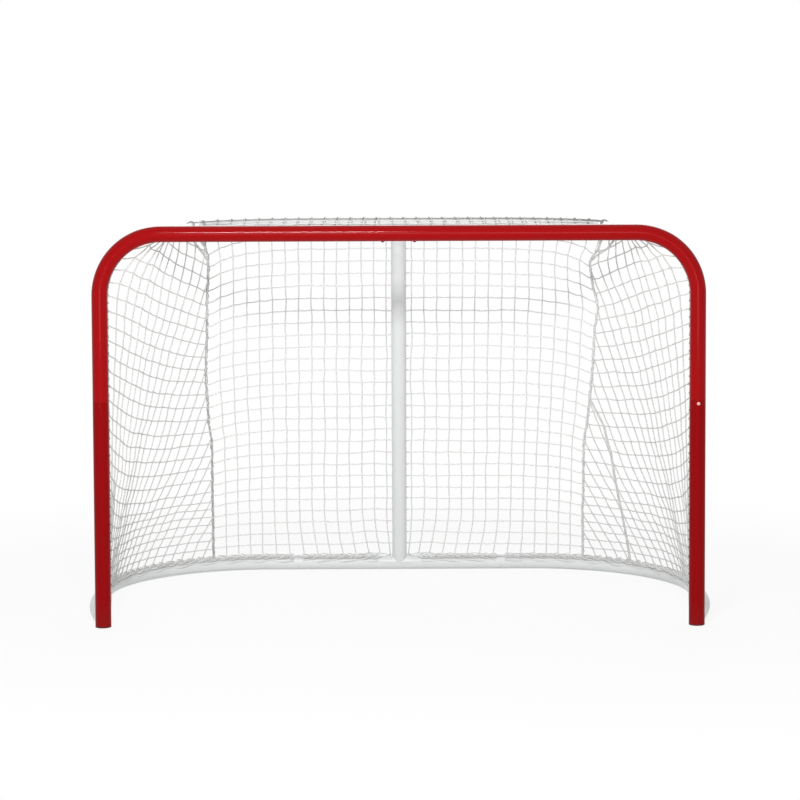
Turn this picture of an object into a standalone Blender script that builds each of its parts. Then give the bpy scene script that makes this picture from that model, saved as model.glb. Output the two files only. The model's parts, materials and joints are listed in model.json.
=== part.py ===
"""Roller hockey goal: a bolted tube frame with a laced net. Metres, +Z up, mouth facing -Y.

The origin is on the floor, midway between the posts' plane and the rear base tube.
"""
import math

import bmesh
import bpy
from mathutils import Matrix, Vector

# Mouth and tube
OPENING_WIDTH = 1.829
OPENING_HEIGHT = 1.219
TUBE_RADIUS = 0.0254
TUBE_WALL = 0.0018
CORNER_RADIUS = 0.194
TUBE_SIDES = 16
BEND_STEP = math.radians(11.25)
CLEARANCE = 0.0003

# Joints of the front frame
POST_JOINT_HEIGHT = 0.718
SLEEVE_LENGTH = 0.16
SLEEVE_WALL = 0.002
FOOT_FLANGE = 0.004
FOOT_PLUG = 0.03
POST_BOLT_DROP = 0.012
CROSSBAR_BOLT_X = 0.05

# Base frame on the floor
BASE_DEPTH = 1.022
BASE_FLARE = math.radians(13.3)
BASE_FOOT_RUN = 0.1
BASE_SIDE_RADIUS = 0.98
BASE_CORNER_RADIUS = 0.53
BASE_JOINT_RUN = 0.0992
BASE_BOLT_OFFSET = 0.04

# Top shelf
SHELF_DEPTH = 0.508
SHELF_HALF_WIDTH = 0.69
SHELF_CORNER_RADIUS = 0.423

# Stubs that carry the base and the shelf on the front frame
STUB_LENGTH = 0.08
STUB_BOLT = 0.05

# Saddles of the centre bar
SADDLE_LENGTH = 0.1
SADDLE_WALL = 0.003
SADDLE_SPREAD = math.radians(65)
SADDLE_BOLT_X = 0.038

# Bolts
BOLT_RADIUS = 0.003
BOLT_LENGTH = 0.012
HEAD_RADIUS = 0.0055
HEAD_HEIGHT = 0.003
BOLT_SIDES = 8

# Lacing rods, held off the tubes by pegs
ROD_RADIUS = 0.003
ROD_STANDOFF = 0.008
ROD_END = 0.012
PEG_RADIUS = 0.0024
ROD_SIDES = 6
FRONT_ROD_ANGLE = math.radians(30)
BASE_ROD_ANGLE = math.radians(45)

# Net, drawn with one strand for every three or so of the real one's
SEAM_INSET = 0.035
TOP_NET_INSET = 0.045
STRAND = 0.0035
BACK_COLUMNS = 9
BACK_ROWS = 7
SIDE_COLUMNS = 5
TOP_ROWS = 2
WRAP_END = math.radians(22)
WRAP_STEP = math.radians(34)
BAR_WRAP = math.radians(42)
NET_SLACK = 0.008
SHELF_LIFT = 0.0035

# Cord that laces the net's foot to the base rods
LACE_RADIUS = 0.0012
LACE_SLACK = 0.0006
TURNS_PER_CELL = 2
TURN_POINTS = 8
LACE_SIDES = 6
REAR_LACED_CELLS = 3

# Sizes that follow
POST_X = OPENING_WIDTH / 2 + TUBE_RADIUS
CROSSBAR_HEIGHT = OPENING_HEIGHT + TUBE_RADIUS
FRONT_Y = -BASE_DEPTH / 2
REAR_Y = BASE_DEPTH / 2
SHELF_Y = FRONT_Y + SHELF_DEPTH
BORE_RADIUS = (TUBE_RADIUS - TUBE_WALL) * math.cos(math.pi / TUBE_SIDES)
SLEEVE_RADIUS = BORE_RADIUS - CLEARANCE
ROD_DISTANCE = TUBE_RADIUS + ROD_STANDOFF + ROD_RADIUS
NET_DISTANCE = ROD_DISTANCE + ROD_RADIUS + CLEARANCE + STRAND / 2
WRAP_DISTANCE = (TUBE_RADIUS + CLEARANCE + STRAND) / math.cos(WRAP_STEP / 2)
SEAM_GAP = (1.5 * STRAND + CLEARANCE) / 2
BACK_NET_X = SHELF_HALF_WIDTH - SEAM_INSET - SEAM_GAP
TOP_NET_X = SHELF_HALF_WIDTH - TOP_NET_INSET
BACK_CELL = 2 * BACK_NET_X / BACK_COLUMNS
BOLT_HOLE_SIDES = 8
COPE_SIDES = 16

UP, BACK, RIGHT = Vector((0, 0, 1)), Vector((0, 1, 0)), Vector((1, 0, 0))


def clear_scene():
    for thing in list(bpy.data.objects):
        bpy.data.objects.remove(thing, do_unlink=True)


def new_collection(name):
    group = bpy.data.collections.new(name)
    bpy.context.scene.collection.children.link(group)
    return group


def new_material(name, colour, roughness, metallic=0.0):
    material = bpy.data.materials.new(name)
    material.use_nodes = True
    shader = material.node_tree.nodes["Principled BSDF"]
    shader.inputs["Base Color"].default_value = (*colour, 1)
    shader.inputs["Roughness"].default_value = roughness
    shader.inputs["Metallic"].default_value = metallic
    return material


clear_scene()
GOAL = new_collection("roller_hockey_goal")
CUTTERS = new_collection("cutters")
RED_PAINT = new_material("red_powder_coat", (0.46, 0.006, 0.009), 0.22)
WHITE_PAINT = new_material("white_powder_coat", (0.78, 0.8, 0.79), 0.3)
ZINC = new_material("zinc_plated_steel", (0.62, 0.63, 0.64), 0.35, 1.0)
CAP_PLASTIC = new_material("cap_plastic", (0.09, 0.01, 0.012), 0.5)
TWINE = new_material("white_twine", (0.8, 0.8, 0.78), 0.85)


class Route:
    """A centreline in one plane, walked as straight runs and bends towards its inward side."""

    def __init__(self, place, heading, inward):
        self.heading = Vector(heading)
        self.stations = [(Vector(place), Vector(inward))]
        self.lengths = [0.0]

    def add(self, point, inward):
        self.lengths.append(self.lengths[-1] + (point - self.stations[-1][0]).length)
        self.stations.append((point, inward))

    def run(self, length):
        point, inward = self.stations[-1]
        self.add(point + self.heading * length, inward)
        return self

    def bend(self, radius, turn):
        point, inward = self.stations[-1]
        centre = point + inward * radius
        steps = max(2, math.ceil(turn / BEND_STEP - 1e-6))
        spin = Matrix.Rotation(turn / steps, 3, self.heading.cross(inward))
        for _ in range(steps):
            self.heading, inward = spin @ self.heading, spin @ inward
            self.add(centre - inward * radius, inward)
        return self

    def length(self):
        return self.lengths[-1]

    def at(self, distance):
        """The point and inward direction at a distance along the route."""
        distance = min(max(distance, 0.0), self.length())
        for i in range(1, len(self.lengths)):
            if distance <= self.lengths[i]:
                break
        share = (distance - self.lengths[i - 1]) / (self.lengths[i] - self.lengths[i - 1])
        (a, a_in), (b, b_in) = self.stations[i - 1], self.stations[i]
        return a.lerp(b, share), a_in.lerp(b_in, share).normalized()

    def reach(self, x):
        """The distance at which the route comes in to x from its far end's side."""
        for i in range(len(self.stations) - 1, 0, -1):
            near, far = self.stations[i][0].x, self.stations[i - 1][0].x
            if far >= x:
                share = (far - x) / (far - near)
                return self.lengths[i - 1] + share * (self.lengths[i] - self.lengths[i - 1])
        return 0.0

    def between(self, start, end):
        inner = [s for s, d in zip(self.stations, self.lengths) if start + 1e-6 < d < end - 1e-6]
        return [self.at(start), *inner, self.at(end)]


def beside(station, side, inward_by, up_by, up):
    """A point beside a station, on the right side of the goal (+1) or mirrored to the left (-1)."""
    point, inward = station
    point = point + inward * inward_by + up * up_by
    return Vector((side * point.x, point.y, point.z))


def front_route():
    """From the right post's foot up the post, round the corner and along to the middle of the crossbar."""
    route = Route((POST_X, FRONT_Y, 0), UP, -RIGHT)
    route.run(CROSSBAR_HEIGHT - CORNER_RADIUS).bend(CORNER_RADIUS, math.pi / 2)
    return route.run(POST_X - CORNER_RADIUS)


def base_route():
    """From the right post's foot, out and back along the floor to the middle of the rear tube."""
    heading = Vector((math.sin(BASE_FLARE), math.cos(BASE_FLARE), 0))
    route = Route((POST_X, FRONT_Y, TUBE_RADIUS), heading, (-heading.y, heading.x, 0))
    route.run(BASE_FOOT_RUN).bend(BASE_SIDE_RADIUS, BASE_FLARE)
    route.run(REAR_Y - BASE_CORNER_RADIUS - route.stations[-1][0].y)
    route.bend(BASE_CORNER_RADIUS, math.pi / 2)
    return route.run(route.stations[-1][0].x)


def shelf_route():
    """From the crossbar back and round to the middle of the top shelf."""
    route = Route((SHELF_HALF_WIDTH, FRONT_Y, CROSSBAR_HEIGHT), BACK, -RIGHT)
    route.run(SHELF_DEPTH - SHELF_CORNER_RADIUS).bend(SHELF_CORNER_RADIUS, math.pi / 2)
    return route.run(SHELF_HALF_WIDTH - SHELF_CORNER_RADIUS)


FRONT, BASE, SHELF = front_route(), base_route(), shelf_route()
BASE_JOINT_X = BASE.stations[-2][0].x - BASE_JOINT_RUN
SIDE_TOP, SIDE_FOOT = FRONT.length() - SHELF_HALF_WIDTH - 2 * TUBE_RADIUS, 3 * TUBE_RADIUS


def new_object(name, mesh, material=None):
    thing = bpy.data.objects.new(name, mesh)
    if material is None:
        CUTTERS.objects.link(thing)
        thing.hide_render = True
        thing.display_type = "WIRE"
    else:
        GOAL.objects.link(thing)
        mesh.materials.append(material)
        mesh.shade_smooth()
        mesh.set_sharp_from_angle(angle=math.radians(40))
    return thing


def swept_mesh(name, points, radius, sides, capped):
    """The mesh of a round section swept along points."""
    curve = bpy.data.curves.new(name, "CURVE")
    curve.dimensions = "3D"
    curve.bevel_depth = radius
    curve.bevel_resolution = sides // 2 - 2
    curve.use_fill_caps = capped
    spline = curve.splines.new("POLY")
    spline.points.add(len(points) - 1)
    for knot, point in zip(spline.points, points):
        knot.co = (*point, 1)
    carrier = bpy.data.objects.new(name, curve)
    bpy.context.scene.collection.objects.link(carrier)
    bpy.context.view_layer.update()
    mesh = bpy.data.meshes.new_from_object(carrier.evaluated_get(bpy.context.evaluated_depsgraph_get()))
    bpy.data.objects.remove(carrier, do_unlink=True)
    bpy.data.curves.remove(curve)
    shape = bmesh.new()
    shape.from_mesh(mesh)
    bmesh.ops.remove_doubles(shape, verts=shape.verts, dist=1e-6)
    shape.to_mesh(mesh)
    shape.free()
    mesh.name = name
    mesh.materials.clear()
    return mesh


def hollow_tube(name, points, material, radius=TUBE_RADIUS, wall=TUBE_WALL):
    """An open tube with its wall inside the given radius."""
    thing = new_object(name, swept_mesh(name, points, radius, TUBE_SIDES, False), material)
    shell = thing.modifiers.new("wall", "SOLIDIFY")
    shell.thickness = wall
    shell.offset = -1
    shell.use_even_offset = True
    return thing


def solid_round(name, points, radius, sides, material=None):
    return new_object(name, swept_mesh(name, points, radius, sides, True), material)


def cut(thing, cutter):
    modifier = thing.modifiers.new(cutter.name, "BOOLEAN")
    modifier.operation = "DIFFERENCE"
    modifier.object = cutter


def round_cutter(name, start, end, radius, sides=COPE_SIDES):
    """A cylinder that keeps the clearance from a round thing along its whole outline."""
    return solid_round(name, [start, end], (radius + CLEARANCE) / math.cos(math.pi / sides), sides)


def bolt(name, seat, outward, material, cut_things):
    """A button-head bolt whose head seats at a point, with its clearance hole in each thing it passes."""
    head = [(HEAD_RADIUS * math.sin(a), HEAD_HEIGHT * math.cos(a)) for a in (0, 0.55, 1.1)]
    profile = [*head, (HEAD_RADIUS, 0), (BOLT_RADIUS, 0), (BOLT_RADIUS, -BOLT_LENGTH), (0, -BOLT_LENGTH)]
    mesh = bpy.data.meshes.new(name)
    shape = bmesh.new()
    knots = [shape.verts.new((x, 0, z)) for x, z in profile]
    for a, b in zip(knots, knots[1:]):
        shape.edges.new((a, b))
    bmesh.ops.spin(
        shape, geom=shape.verts[:] + shape.edges[:], cent=(0, 0, 0), axis=(0, 0, 1),
        angle=2 * math.pi, steps=BOLT_SIDES, use_merge=True,
    )
    bmesh.ops.remove_doubles(shape, verts=shape.verts, dist=1e-6)
    bmesh.ops.recalc_face_normals(shape, faces=shape.faces)
    shape.to_mesh(mesh)
    shape.free()
    thing = new_object(name, mesh, material)
    thing.location = seat + outward * CLEARANCE
    thing.rotation_euler = outward.to_track_quat("Z", "Y").to_euler()
    reach = outward * (BOLT_LENGTH + 2 * CLEARANCE)
    hole = round_cutter(name + "_hole", seat + outward * 0.002, seat - reach, BOLT_RADIUS, BOLT_HOLE_SIDES)
    for cut_thing in cut_things:
        cut(cut_thing, hole)
    return thing


def foot_cap(name, side):
    """A flanged plug in the foot of a post: its flat flange stands on the floor."""
    place = Vector((side * POST_X, FRONT_Y, 0))
    profile = [(SLEEVE_RADIUS, FOOT_PLUG), (SLEEVE_RADIUS, FOOT_FLANGE), (TUBE_RADIUS, FOOT_FLANGE),
               (TUBE_RADIUS, 0.001), (TUBE_RADIUS - 0.001, 0)]
    mesh = bpy.data.meshes.new(name)
    shape = bmesh.new()
    knots = [shape.verts.new((x, 0, z)) for x, z in profile]
    for a, b in zip(knots, knots[1:]):
        shape.edges.new((a, b))
    bmesh.ops.spin(
        shape, geom=shape.verts[:] + shape.edges[:], cent=(0, 0, 0), axis=(0, 0, 1),
        angle=2 * math.pi, steps=TUBE_SIDES, use_merge=True,
    )
    bmesh.ops.holes_fill(shape, edges=[e for e in shape.edges if e.is_boundary], sides=0)
    bmesh.ops.recalc_face_normals(shape, faces=shape.faces)
    shape.to_mesh(mesh)
    shape.free()
    thing = new_object(name, mesh, CAP_PLASTIC)
    thing.location = place
    return thing


def lacing_rod(name, route, start, end, side, angle, up, material, pegs=None):
    """A thin rod beside a tube, on pegs that reach the tube, welded up as one piece."""
    inward_by, up_by = ROD_DISTANCE * math.sin(angle), ROD_DISTANCE * math.cos(angle)
    points = [beside(s, side, inward_by, up_by, up) for s in route.between(start, end)]
    rod = solid_round(name, points, ROD_RADIUS, ROD_SIDES, material)
    foot = (TUBE_RADIUS + CLEARANCE) / ROD_DISTANCE
    pegs = pegs or [start + ROD_END, (start + end) / 2, end - ROD_END]
    for i, distance in enumerate(pegs):
        station = route.at(distance)
        low = beside(station, side, inward_by * foot, up_by * foot, up)
        high = beside(station, side, inward_by * 1.02, up_by * 1.02, up)
        peg = solid_round(f"{name}_peg_{i}", [low, high], PEG_RADIUS, ROD_SIDES)
        joint = rod.modifiers.new("peg", "BOOLEAN")
        joint.operation = "UNION"
        joint.object = peg
    return rod


def half_frame(word, side):
    """The pieces of one side of the front frame, with its base and its stubs."""
    seam = CLEARANCE / 2
    post_at = Vector((side * POST_X, FRONT_Y, 0))
    post = hollow_tube(f"{word}_lower_post", [post_at + UP * (FOOT_FLANGE + CLEARANCE),
                       post_at + UP * (POST_JOINT_HEIGHT - seam)], RED_PAINT)
    corner_points = [beside(s, side, 0, 0, UP)
                     for s in FRONT.between(POST_JOINT_HEIGHT + seam, FRONT.length() - seam)]
    corner = hollow_tube(f"{word}_corner_tube", corner_points, RED_PAINT)
    joint_at = post_at + UP * POST_JOINT_HEIGHT
    sleeve = hollow_tube(f"{word}_post_sleeve", [joint_at - UP * SLEEVE_LENGTH / 2,
                         joint_at + UP * SLEEVE_LENGTH / 2], ZINC, SLEEVE_RADIUS, SLEEVE_WALL)
    bolt(f"{word}_post_bolt", joint_at - UP * POST_BOLT_DROP - BACK * TUBE_RADIUS, -BACK, RED_PAINT,
         [post, sleeve])
    foot_cap(f"{word}_foot_cap", side)

    base_end = BASE.reach(BASE_JOINT_X) - seam
    base = hollow_tube(f"{word}_base_tube",
                       [beside(s, side, 0, 0, UP) for s in BASE.between(0, base_end)], WHITE_PAINT)
    base_stub = hollow_tube(f"{word}_base_stub",
                            [beside(BASE.at(d), side, 0, 0, UP) for d in (0, STUB_LENGTH)],
                            RED_PAINT, SLEEVE_RADIUS, SLEEVE_WALL)
    post_cope = round_cutter(f"{word}_post_cope", post_at - UP * 0.05, post_at + UP * 0.1, TUBE_RADIUS)
    cut(base, post_cope)
    cut(base_stub, post_cope)
    bolt(f"{word}_base_bolt", beside(BASE.at(STUB_BOLT + 0.01), side, 0, TUBE_RADIUS, UP), UP, ZINC,
         [base, base_stub])

    shelf_stub = hollow_tube(f"{word}_shelf_stub",
                             [beside(SHELF.at(d), side, 0, 0, UP) for d in (0, STUB_LENGTH)],
                             RED_PAINT, SLEEVE_RADIUS, SLEEVE_WALL)
    return post, corner, base, shelf_stub


def crossbar_cope():
    half = Vector((SHELF_HALF_WIDTH + 2 * TUBE_RADIUS, 0, 0))
    middle = Vector((0, FRONT_Y, CROSSBAR_HEIGHT))
    return round_cutter("crossbar_cope", middle - half, middle + half, TUBE_RADIUS)


def saddle(name, centre, outward):
    """A curved plate that hugs a tube where the centre bar lands on it."""
    steps = 8
    inner = (TUBE_RADIUS + CLEARANCE) / math.cos(SADDLE_SPREAD / steps)
    mesh = bpy.data.meshes.new(name)
    shape = bmesh.new()
    arm = outward.copy()
    arm.rotate(Matrix.Rotation(-SADDLE_SPREAD, 3, RIGHT))
    ends = [shape.verts.new(arm * inner + RIGHT * s * SADDLE_LENGTH / 2) for s in (-1, 1)]
    edge = shape.edges.new(ends)
    bmesh.ops.spin(shape, geom=[*ends, edge], cent=(0, 0, 0), axis=RIGHT, angle=2 * SADDLE_SPREAD, steps=steps)
    bmesh.ops.recalc_face_normals(shape, faces=shape.faces)
    if shape.faces[:][0].normal.dot(shape.faces[:][0].calc_center_median()) < 0:
        bmesh.ops.reverse_faces(shape, faces=shape.faces)
    shape.to_mesh(mesh)
    shape.free()
    thing = new_object(name, mesh, WHITE_PAINT)
    thing.location = centre
    shell = thing.modifiers.new("wall", "SOLIDIFY")
    shell.thickness = SADDLE_WALL
    shell.offset = 1
    return thing


def build_frame():
    crossbar_middle = Vector((0, FRONT_Y, CROSSBAR_HEIGHT))
    shelf_middle = Vector((0, SHELF_Y, CROSSBAR_HEIGHT))
    base_middle = Vector((0, REAR_Y, TUBE_RADIUS))
    left = half_frame("left", -1)
    right = half_frame("right", 1)
    half_sleeve = RIGHT * SLEEVE_LENGTH / 2
    sleeve = hollow_tube("crossbar_sleeve", [crossbar_middle - half_sleeve, crossbar_middle + half_sleeve],
                         ZINC, SLEEVE_RADIUS, SLEEVE_WALL)

    shelf_points = [beside(s, 1, 0, 0, UP) for s in SHELF.between(0, SHELF.length())]
    shelf_points += [beside(s, -1, 0, 0, UP) for s in SHELF.between(0, SHELF.length())][-2::-1]
    shelf = hollow_tube("top_shelf_tube", shelf_points, WHITE_PAINT)
    cope = crossbar_cope()
    cut(shelf, cope)
    rear = hollow_tube("rear_base_tube", [base_middle - RIGHT * (BASE_JOINT_X - CLEARANCE / 2),
                       base_middle + RIGHT * (BASE_JOINT_X - CLEARANCE / 2)], WHITE_PAINT)

    for word, side, (post, corner, base, shelf_stub) in (("left", -1, left), ("right", 1, right)):
        cut(shelf_stub, cope)
        bolt(f"{word}_crossbar_bolt", crossbar_middle + RIGHT * side * CROSSBAR_BOLT_X - UP * TUBE_RADIUS,
             -UP, RED_PAINT, [corner, sleeve])
        bolt(f"{word}_shelf_bolt", beside(SHELF.at(STUB_BOLT), side, 0, -TUBE_RADIUS, UP), -UP, ZINC,
             [shelf, shelf_stub])
        joint_at = base_middle + RIGHT * side * BASE_JOINT_X
        base_sleeve = hollow_tube(f"{word}_base_sleeve", [joint_at - half_sleeve, joint_at + half_sleeve],
                                  ZINC, SLEEVE_RADIUS, SLEEVE_WALL)
        for place, offset, tube in (("outer", 1, base), ("inner", -1, rear)):
            seat = joint_at + RIGHT * side * offset * BASE_BOLT_OFFSET + BACK * TUBE_RADIUS
            bolt(f"{word}_{place}_base_joint_bolt", seat, BACK, ZINC, [tube, base_sleeve])

    down = (base_middle - shelf_middle).normalized()
    bar = hollow_tube("centre_bar", [shelf_middle, base_middle], WHITE_PAINT)
    for name, centre, outward, tube in (("shelf_saddle", shelf_middle, down, shelf),
                                        ("base_saddle", base_middle, -down, rear)):
        plate = saddle(name, centre, outward)
        outside = TUBE_RADIUS + 2 * CLEARANCE + SADDLE_WALL
        cut(bar, round_cutter(f"{name}_cope", centre - RIGHT * 0.1, centre + RIGHT * 0.1, outside))
        for word, side in (("left", -1), ("right", 1)):
            seat = centre + RIGHT * side * SADDLE_BOLT_X + outward * outside
            bolt(f"{name}_{word}_bolt", seat, outward, ZINC, [tube, plate])


def laced_at(cell):
    """Distance along the base route of a net column: 0 at the post, then past the seam along the rear."""
    if cell <= SIDE_COLUMNS:
        foot, seam = 2 * TUBE_RADIUS, BASE.reach(BACK_NET_X) - 2 * SEAM_GAP
        return foot + (seam - foot) * cell / SIDE_COLUMNS
    return BASE.reach(BACK_NET_X - (cell - SIDE_COLUMNS) * BACK_CELL)


def free_of_lace(x):
    """The last place before the route comes in to x where the lacing cord passes over the net, not the tube."""
    cell, step = 0.5 / TURNS_PER_CELL, 1 / TURNS_PER_CELL
    while laced_at(cell + step) < BASE.reach(x):
        cell += step
    return laced_at(cell)


def build_rods():
    middle = FRONT.length()
    joint = BASE.reach(BASE_JOINT_X)
    for word, side in (("left", -1), ("right", 1)):
        front = {"side": side, "angle": FRONT_ROD_ANGLE, "up": BACK, "material": RED_PAINT}
        lacing_rod(f"{word}_post_rod", FRONT, 3 * TUBE_RADIUS, POST_JOINT_HEIGHT - ROD_END, **front)
        outside_shelf = middle - SHELF_HALF_WIDTH - TUBE_RADIUS - ROD_END
        lacing_rod(f"{word}_corner_rod", FRONT, POST_JOINT_HEIGHT + ROD_END, outside_shelf, **front)
        inside_shelf = middle - SHELF_HALF_WIDTH + TUBE_RADIUS + ROD_END
        lacing_rod(f"{word}_crossbar_rod", FRONT, inside_shelf, middle - ROD_END, **front)
        base = {"side": side, "angle": BASE_ROD_ANGLE, "up": UP, "material": WHITE_PAINT}
        quarter = 0.5 / TURNS_PER_CELL
        side_pegs = [laced_at(quarter), laced_at(SIDE_COLUMNS // 2 + quarter),
                     free_of_lace(BASE_JOINT_X + ROD_END)]
        lacing_rod(f"{word}_base_rod", BASE, 2.5 * TUBE_RADIUS, joint - ROD_END, **base, pegs=side_pegs)
        bar_side = BASE.reach(SADDLE_LENGTH / 2 + ROD_END)
        rear_pegs = [free_of_lace(BACK_CELL), bar_side - ROD_END]
        lacing_rod(f"{word}_rear_rod", BASE, joint + ROD_END, bar_side, **base, pegs=rear_pegs)


def on_ring(route, distance, side, inward_angle, radius, up=UP):
    """A point round a tube, at an angle from up towards the inward side."""
    reach = (radius * math.sin(inward_angle), radius * math.cos(inward_angle))
    return beside(route.at(distance), side, *reach, up)


def shelf_ring(x, angle, lift=0):
    """A point of net lying on the shelf tube, at an angle above its outer side."""
    side = math.copysign(1, x)
    return on_ring(SHELF, SHELF.reach(abs(x)), side, angle - math.pi / 2, WRAP_DISTANCE + lift)


def net_foot(x):
    """The back net's edge beside the base rod, which dips behind the centre bar."""
    side, share = math.copysign(1, x), (abs(x) - BACK_CELL / 2) / BACK_CELL
    share = min(max(share, 0), 1)
    angle = -BAR_WRAP + (BAR_WRAP + BASE_ROD_ANGLE) * share
    behind_bar = TUBE_RADIUS + SADDLE_WALL + STRAND
    lift = NET_SLACK * math.sin(math.pi * share)
    radius = behind_bar + (NET_DISTANCE - behind_bar) * share + lift
    return on_ring(BASE, BASE.reach(abs(x)), side, angle, radius)


def back_surface(u, v):
    """The back net, left to right and top to bottom, pushed out where the centre bar holds it."""
    x = BACK_NET_X * (2 * u - 1)
    top, foot = shelf_ring(x, WRAP_END - SEAM_GAP / WRAP_DISTANCE), net_foot(x)
    near_bar = 1 - min(max((abs(x) - BACK_CELL / 2) / (BACK_NET_X - BACK_CELL / 2), 0), 1)
    bulge = NET_SLACK * math.sin(math.pi * v) * (1 + near_bar)
    return top.lerp(foot, v) + BACK * bulge


def top_surface(u, v):
    """The top net, left to right and from the crossbar back over the shelf tube."""
    x = TOP_NET_X * (2 * u - 1)
    row = v * (TOP_ROWS + 2)
    if row > TOP_ROWS + 1e-6:
        angle = WRAP_END + SEAM_GAP / WRAP_DISTANCE + WRAP_STEP * (TOP_ROWS + 2 - row)
        return shelf_ring(x, angle)
    front = on_ring(FRONT, FRONT.length() - abs(x), math.copysign(1, x), FRONT_ROD_ANGLE,
                    NET_DISTANCE - CLEARANCE, BACK)
    return front.lerp(shelf_ring(x, math.pi / 2, SHELF_LIFT), row / TOP_ROWS)


def side_surface(side):
    """One side net, from the front frame (u = 0) to the seam and top to bottom: a patch between its four edges."""
    shelf_start, shelf_end = 2 * TUBE_RADIUS, SHELF.reach(BACK_NET_X) - 2 * SEAM_GAP

    def top(u):
        distance = shelf_start + (shelf_end - shelf_start) * u
        return on_ring(SHELF, distance, side, WRAP_END - math.pi / 2, WRAP_DISTANCE)

    def bottom(u):
        return on_ring(BASE, laced_at(u * SIDE_COLUMNS), side, BASE_ROD_ANGLE, NET_DISTANCE)

    def front(v):
        distance = SIDE_TOP + (SIDE_FOOT - SIDE_TOP) * min(max(v, 0.02), 0.98)
        if v < 1e-6:
            return top(0)
        if v > 1 - 1e-6:
            return bottom(0)
        return on_ring(FRONT, distance, side, FRONT_ROD_ANGLE, NET_DISTANCE, BACK)

    def seam(v):
        return top(1).lerp(bottom(1), v) + BACK * NET_SLACK * math.sin(math.pi * v)

    def surface(u, v):
        across = front(v).lerp(seam(v), u)
        down = top(u).lerp(bottom(u), v)
        corners = front(0).lerp(seam(0), u).lerp(front(1).lerp(seam(1), u), v)
        return across + down - corners

    return surface


def split_edges(shape, along, level, knots):
    """Adds a vertex at each knot along the grid line at a level, so that the net's edge follows a bent tube."""
    across = 1 - along
    for knot in knots:
        for edge in list(shape.edges):
            a, b = edge.verts
            ends = sorted((a.co[along], b.co[along]))
            on_line = abs(a.co[across] - level) < 1e-6 and abs(b.co[across] - level) < 1e-6
            if on_line and ends[0] + 1e-4 < knot < ends[1] - 1e-4:
                bmesh.utils.edge_split(edge, a, (knot - a.co[along]) / (b.co[along] - a.co[along]))
                break


def net(name, surface, columns, rows, bent_lines):
    """A net over surface(u, v): a grid of open gaps with square strands."""
    mesh = bpy.data.meshes.new(name)
    shape = bmesh.new()
    bmesh.ops.create_grid(shape, x_segments=columns, y_segments=rows, size=0.5)
    for vert in shape.verts:
        vert.co = (vert.co.x + 0.5, 0.5 - vert.co.y, 0)
    for along, level, knots in bent_lines:
        split_edges(shape, along, level, knots)
    for vert in shape.verts:
        vert.co = surface(vert.co.x, vert.co.y)
    shape.to_mesh(mesh)
    shape.free()
    thing = new_object(name, mesh, TWINE)
    strands = thing.modifiers.new("strands", "WIREFRAME")
    strands.thickness = STRAND
    strands.use_boundary = True
    strands.use_even_offset = False
    return thing


def bend_knots(route, place_of, start, end):
    """Where a net edge passes the route's bends, from 0 at place_of(0) to 1 at place_of(1)."""
    knots = []
    for point, distance in zip(route.stations, route.lengths):
        low, high = 0.0, 1.0
        if not min(start, end) < distance < max(start, end):
            continue
        for _ in range(24):
            middle = (low + high) / 2
            if (place_of(middle) < distance) == (start < end):
                low = middle
            else:
                high = middle
        knots.append(low)
    return knots


def build_nets():
    def back_place(route):
        return lambda half: route.reach(BACK_NET_X * (1 - half))

    def both_halves(knots):
        return [0.5 - 0.5 * (1 - k) for k in knots] + [0.5 + 0.5 * (1 - k) for k in knots]

    shelf_knots = both_halves(bend_knots(SHELF, back_place(SHELF), SHELF.reach(BACK_NET_X), SHELF.length()))
    base_knots = both_halves(bend_knots(BASE, back_place(BASE), BASE.reach(BACK_NET_X), BASE.length()))
    base_knots += [0.5 + s * (0.5 + i / 3) / BACK_COLUMNS for s in (-1, 1) for i in (1, 2)]
    net("net_back", back_surface, BACK_COLUMNS, BACK_ROWS, [(0, 0, shelf_knots), (0, 1, base_knots)])
    rows = TOP_ROWS + 2
    net("net_top", top_surface, BACK_COLUMNS, rows,
        [(0, level / rows, shelf_knots) for level in range(TOP_ROWS, rows + 1)])

    front_knots = [0.02, 0.98]
    front_knots += bend_knots(FRONT, lambda v: SIDE_TOP + (SIDE_FOOT - SIDE_TOP) * v, SIDE_TOP, SIDE_FOOT)
    side_place = lambda u: laced_at(u * SIDE_COLUMNS)
    side_knots = bend_knots(BASE, side_place, laced_at(0), laced_at(SIDE_COLUMNS))
    for word, side in (("left", -1), ("right", 1)):
        net(f"net_{word}", side_surface(side), SIDE_COLUMNS, BACK_ROWS,
            [(0, 1, side_knots), (1, 0, front_knots)])


def least_gap(points, radius, apart):
    """The least gap between a tube and itself, over points at least so many steps apart."""
    return min((a - b).length for i, a in enumerate(points) for b in points[i + apart:]) - 2 * radius


def build_laces():
    """One cord a side, wound round the base rods and the net's edge."""
    grip = ROD_RADIUS + (STRAND + CLEARANCE) / 2
    radius = (grip + CLEARANCE + LACE_SLACK + LACE_RADIUS) / math.cos(math.pi / TURN_POINTS)
    axis = ROD_DISTANCE - ROD_RADIUS + grip
    cells = SIDE_COLUMNS + REAR_LACED_CELLS
    count = cells * TURNS_PER_CELL * TURN_POINTS
    outward = Vector((math.sin(BASE_ROD_ANGLE), math.cos(BASE_ROD_ANGLE)))
    sideways = Vector((outward.y, -outward.x))
    for word, side in (("left", -1), ("right", 1)):
        points = []
        for i in range(TURN_POINTS // 2, count):
            cell = i / (TURNS_PER_CELL * TURN_POINTS)
            turn = 2 * math.pi * TURNS_PER_CELL * cell
            spot = outward * (axis - radius * math.cos(turn)) + sideways * radius * math.sin(turn)
            points.append(beside(BASE.at(laced_at(cell)), side, spot.x, spot.y, UP))
        solid_round(f"{word}_base_lace", points, LACE_RADIUS, LACE_SIDES, TWINE)
        gap = least_gap(points, LACE_RADIUS, TURN_POINTS // 2)
        print(f"{word}_base_lace: least gap to itself {gap * 1000:.1f} mm")


build_frame()
build_rods()
build_nets()
build_laces()
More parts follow.
